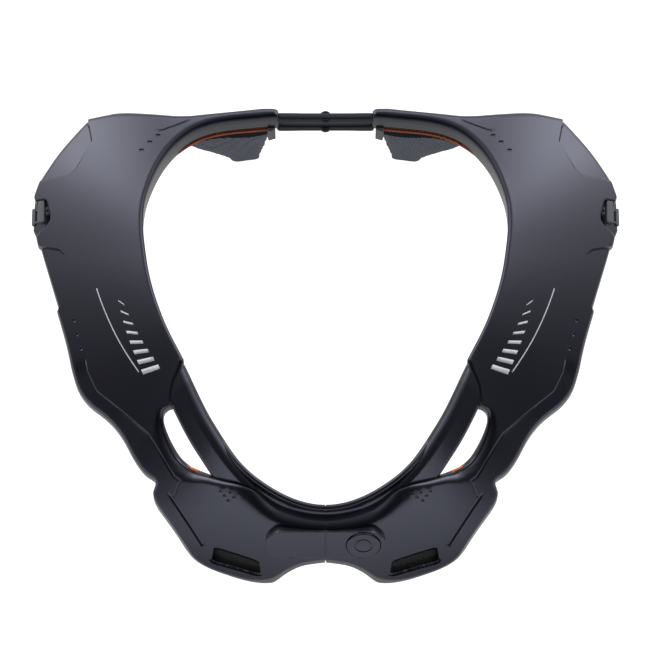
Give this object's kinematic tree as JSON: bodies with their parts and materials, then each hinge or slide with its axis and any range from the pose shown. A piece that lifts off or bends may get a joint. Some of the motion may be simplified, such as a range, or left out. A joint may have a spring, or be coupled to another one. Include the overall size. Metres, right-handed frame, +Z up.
{
  "type": "motocross neck brace",
  "caption": "Split moulded collar with curved shoulder wings, chest plates, a front latch block with a round release button, rubber links behind and soft pads beneath.",
  "frame": {"origin": "under the middle of the whole brace, on the surface that it stands on", "axes": "+Z up, -Y to the wearer's front, +X to the side with the release button"},
  "size_m": [0.2712, 0.2174, 0.0719],
  "materials": {
    "moulded_plastic": "satin moulded, fine grain",
    "button_plastic": "satin moulded with an engraved ring",
    "clip_plastic": "grey nylon, fine grain",
    "pad_mesh": "ribbed mesh over foam",
    "orange_piping": "woven edge binding",
    "link_rubber": "matte moulded rubber"
  },
  "bodies": {
    "collar": {"half_shell_right": "moulded_plastic", "half_shell_left": "moulded_plastic", "strap_clip_right": "clip_plastic", "strap_clip_left": "clip_plastic", "rear_pad_right": "pad_mesh", "rear_pad_left": "pad_mesh", "rear_piping_right": "orange_piping", "rear_piping_left": "orange_piping", "chest_pad_right": "pad_mesh", "chest_pad_left": "pad_mesh", "chest_piping_right": "orange_piping", "chest_piping_left": "orange_piping", "rear_link_upper": "link_rubber", "rear_link_lower": "link_rubber", "anchor_tab_right": "clip_plastic", "anchor_tab_left": "clip_plastic"},
    "button": {"release_button": "button_plastic"}
  },
  "joints": [
    {"name": "release_button_press", "type": "slide", "parent": "collar", "child": "button", "axis": [0, 0.8746, -0.4848], "range_m": [0, 0.0025], "stiffness_N_per_m": 1200, "springref_m": -0.002}
  ]
}
